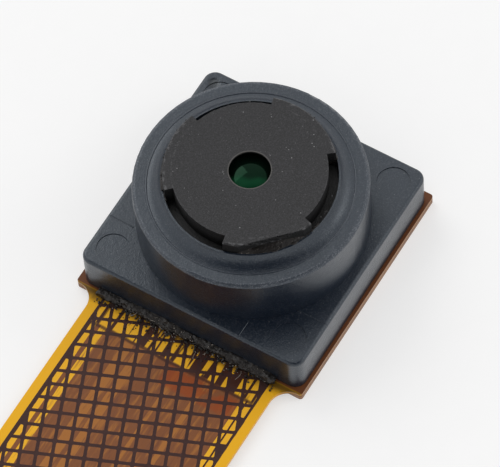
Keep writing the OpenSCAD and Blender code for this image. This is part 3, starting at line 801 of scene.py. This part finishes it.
def fibre(start, heading, length):
    """One hair from start, in millimetres, with a gentle wander and its far end lifted."""
    curve = bpy.data.curves.new("fibre", "CURVE")
    curve.dimensions = "3D"
    curve.bevel_depth = FIBRE_THICK / 2
    curve.bevel_resolution = 2
    path = curve.splines.new("NURBS")
    path.points.add(FIBRE_POINTS - 1)
    x, y, z = start
    for point in path.points:
        point.co = (x, y, z, 1)
        heading += chance.uniform(-0.55, 0.55)
        x += math.cos(heading) * length / FIBRE_POINTS
        y += math.sin(heading) * length / FIBRE_POINTS
        z += FIBRE_RISE / FIBRE_POINTS
    path.use_endpoint_u = True
    hair = bpy.data.objects.new("fibre", curve)
    bpy.context.scene.collection.objects.link(hair)
    only(hair)
    bpy.ops.object.convert(target="MESH")
    return bpy.context.object

hairs = [fibre((across, base_front - out, film_top + 0.05), heading, length)
         for across, out, heading, length in FIBRES]
only(hairs[0])
for hair in hairs:
    hair.select_set(True)
bpy.ops.object.join()
lint = bpy.context.object
lint.name = "lint_fibres"
settle(lint)
shrink(lint, dust_finish)

# %% [markdown]
# ## Glue round the barrel
# The barrel is turned until the picture is sharp and then glued. Glue closes the rear notch,
# clings in ragged strips to the bore's wall in the two front notches, and stands in little bright
# crumbs round the edge of the face. A strip is made by spinning a small square round the optical
# axis, as on a lathe that stops part way, and then making it lumpy.

# %% Ragged strips in the notches
def strip(name, angles, radii, heights, steps):
    """A strip round the axis between two angles, two radii and two heights, made lumpy."""
    start, end = (math.radians(angle) for angle in angles)
    inner, outer = radii
    low, high = heights
    piece = begin(name, bpy.ops.mesh.primitive_plane_add, size=1, rotation=(math.pi / 2, 0, 0))
    piece.scale = (outer - inner, high - low, 1)
    settle(piece)
    piece.location = ((inner + outer) / 2, 0, (low + high) / 2)
    settle(piece)
    piece.rotation_euler = (0, 0, start)
    settle(piece)
    bpy.ops.object.mode_set(mode="EDIT")
    bpy.ops.mesh.select_all(action="SELECT")
    bpy.ops.mesh.spin(steps=40, angle=end - start, center=(0, 0, 0), axis=(0, 0, 1))
    bpy.ops.mesh.select_all(action="SELECT")
    bpy.ops.mesh.remove_doubles(threshold=0.0005)
    bpy.ops.mesh.normals_make_consistent(inside=False)
    bpy.ops.object.mode_set(mode="OBJECT")
    lumpy(piece, 0.022, steps)
    shrink(piece, built[black_glue])

on_wall = (HEAD_R - 0.04, HEAD_R + 0.05)
strip("rear_notch_glue", (102, 161), (NOTCH_R + 0.02, HEAD_R + 0.05),
      (lip_z - 0.25, lip_z + 0.03), [(0.3, 0.08), (0.09, 0.04)])
strip("left_notch_glue", (228, 282), on_wall, (lip_z - 0.18, lip_z), [(0.35, 0.1), (0.1, 0.06)])
strip("right_notch_glue", (-8, 40), on_wall, (lip_z - 0.16, lip_z), [(0.3, 0.1), (0.1, 0.06)])

# %% Crumbs round the edge of the face
# First and last angle, number of crumbs and radius of each row
ROWS = [(48, 102, 46, HEAD_R - 0.02), (162, 224, 60, HEAD_R - 0.03),
        (104, 158, 26, NOTCH_R + 0.02), (-12, 10, 8, HEAD_R + 0.05)]

spots = []
for start, end, count, reach in ROWS:
    for _ in range(count):
        angle = math.radians(chance.uniform(start, end))
        r = reach + chance.uniform(-0.07, 0.045)
        size = chance.uniform(0.03, 0.075)
        z = face_z - 0.5 * size - abs(chance.gauss(0, 0.05)) - (SINK if r > reach else 0.0)
        spots.append(spot((r * math.cos(angle), r * math.sin(angle), z), size))
crumbs = scatter(grain_ball("edge_crumbs_model", 0.4), spots)
shrink(crumbs, built[barrel_plastic])

# %% [markdown]
# ## Light and surroundings
# The module lies on white paper in a white room, so nearly everything that its glossy edges
# mirror is white. The one dark thing is the side that the camera stands on, and the hollow
# shoulder of the turret shows it as a dark crescent. The world is therefore white
# for mirrors and for the background, with a soft dark patch in that one direction, and a plain
# even level for diffuse light. Two large soft lamps add a little direction.

# %% World
EVEN_LIGHT = 0.62
DARKENING = 0.97
PATCH_INNER, PATCH_OUTER = (math.cos(math.radians(angle)) for angle in (24, 42))

world = bpy.data.worlds.new("white_room")
bpy.context.scene.world = world
world.use_nodes = True
sky = world.node_tree
sky.nodes.clear()

class Room(Finish):
    """The world's node tree, with the same methods as a finish."""

    def __init__(self):
        self.tree = sky

room = Room()
direction = room.node("ShaderNodeTexCoord", out="Generated")
towards = room.node("ShaderNodeVectorMath", {"operation": "DOT_PRODUCT"},
                    {0: direction, 1: back}, out="Value")
dark_side = smooth(room, towards, PATCH_OUTER, PATCH_INNER)
seen = room.node("ShaderNodeLightPath", out="Is Camera Ray")
mirrored = room.node("ShaderNodeLightPath", out="Is Glossy Ray")
through = room.node("ShaderNodeLightPath", out="Is Transmission Ray")
shown = seen + through
strength = shown + mirrored * (1 - DARKENING * dark_side) + (1 - shown - mirrored) * EVEN_LIGHT
light = room.node("ShaderNodeBackground", {}, {"Color": (1, 1, 1, 1), "Strength": strength})
sky.links.new(light.socket, sky.nodes.new("ShaderNodeOutputWorld").inputs["Surface"])
print("world ready")

# %% Two soft lamps
def lamp(name, place, size, watts):
    """A square soft lamp at a place in millimetres, turned towards the module."""
    data = bpy.data.lights.new(name, "AREA")
    data.size = size * MM
    data.energy = watts
    lit = bpy.data.objects.new(name, data)
    bpy.context.scene.collection.objects.link(lit)
    lit.location = Vector(place) * MM
    lit.rotation_euler = (-lit.location).to_track_quat("-Z", "Y").to_euler()

lamp("window_left", place=(-150, 60, 170), size=120, watts=0.10)
lamp("window_right", place=(140, 130, 120), size=100, watts=0.05)
print("lamps:", len(bpy.data.lights))

# %% [markdown]
# ## The floor
# The floor is plain white paper. It has to look as white as the background, or its edge would
# show, but it must keep the module's shadow. Half of its light is therefore its own and half is
# reflected: full light gives white, and a shadow takes away only the reflected half. For light
# that bounces on to the module it is ordinary paper. Seen from below it is clear, so that the
# underside of the module can be looked at too.

# %% Paper floor
FLOOR_SIDE = 1.6
FLOOR_GAP = 0.00001
OWN_LIGHT = 0.5
WHITE = (1, 1, 1, 1)

bpy.ops.object.select_all(action="DESELECT")
bpy.ops.mesh.primitive_plane_add(size=FLOOR_SIDE, location=(0, 0, -FLOOR_GAP))
floor = bpy.context.object
floor.name = "paper_floor"
floor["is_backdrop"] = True

paper = Finish("paper")
paper.set(roughness=1.0, specular_ior_level=0.0)
paper.feed(paper.surface.inputs["Base Color"], (0.82, 0.82, 0.82, 1))
plain_paper = Sock(paper, paper.surface.outputs[0])

def join(kind, first, second, mask=None):
    """Two surfaces joined by a node of this kind: added, or mixed by a mask."""
    joint = paper.node(kind, {}, {0: mask} if mask else {}).socket
    for socket, surface in zip(list(joint.node.inputs)[-2:], (first, second)):
        paper.feed(socket, surface)
    return Sock(paper, joint)

grain = mix(paper, noise(paper, 0.6, 2.0, 1.0), (0.55, 0.55, 0.55), (0.57, 0.57, 0.57))
half_lit = join("ShaderNodeAddShader",
                paper.node("ShaderNodeEmission", {}, {"Color": WHITE, "Strength": OWN_LIGHT}),
                paper.node("ShaderNodeBsdfDiffuse", {}, {"Color": grain}))
glow = paper.node("ShaderNodeEmission", {}, {"Color": WHITE, "Strength": 1.0})
clear = paper.node("ShaderNodeBsdfTransparent")
seen = paper.node("ShaderNodeLightPath", out="Is Camera Ray")
mirrored = paper.node("ShaderNodeLightPath", out="Is Glossy Ray")
through = paper.node("ShaderNodeLightPath", out="Is Transmission Ray")
below = paper.node("ShaderNodeNewGeometry", out="Backfacing")
front = join("ShaderNodeMixShader", plain_paper, half_lit, seen)
front = join("ShaderNodeMixShader", front, glow, mirrored + through)
both = join("ShaderNodeMixShader", front, clear, below)
paper.feed(paper.tree.nodes["Material Output"].inputs["Surface"], both)
floor.data.materials.append(paper.material)
print("floor ready")

# %% [markdown]
# ## Compare the sizes
# How far the dressed model has grown past the measured one, in each direction. The
# dressed model must stay inside the measured one.

# %% Compare both boxes
def plain(box):
    return [[float(v) for v in corner] for corner in box]

visual_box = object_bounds()
grown = (visual_box[1] - visual_box[0]) - (cad_box[1] - cad_box[0])
print("grown by, in mm:", [round(v / MM, 3) for v in grown])
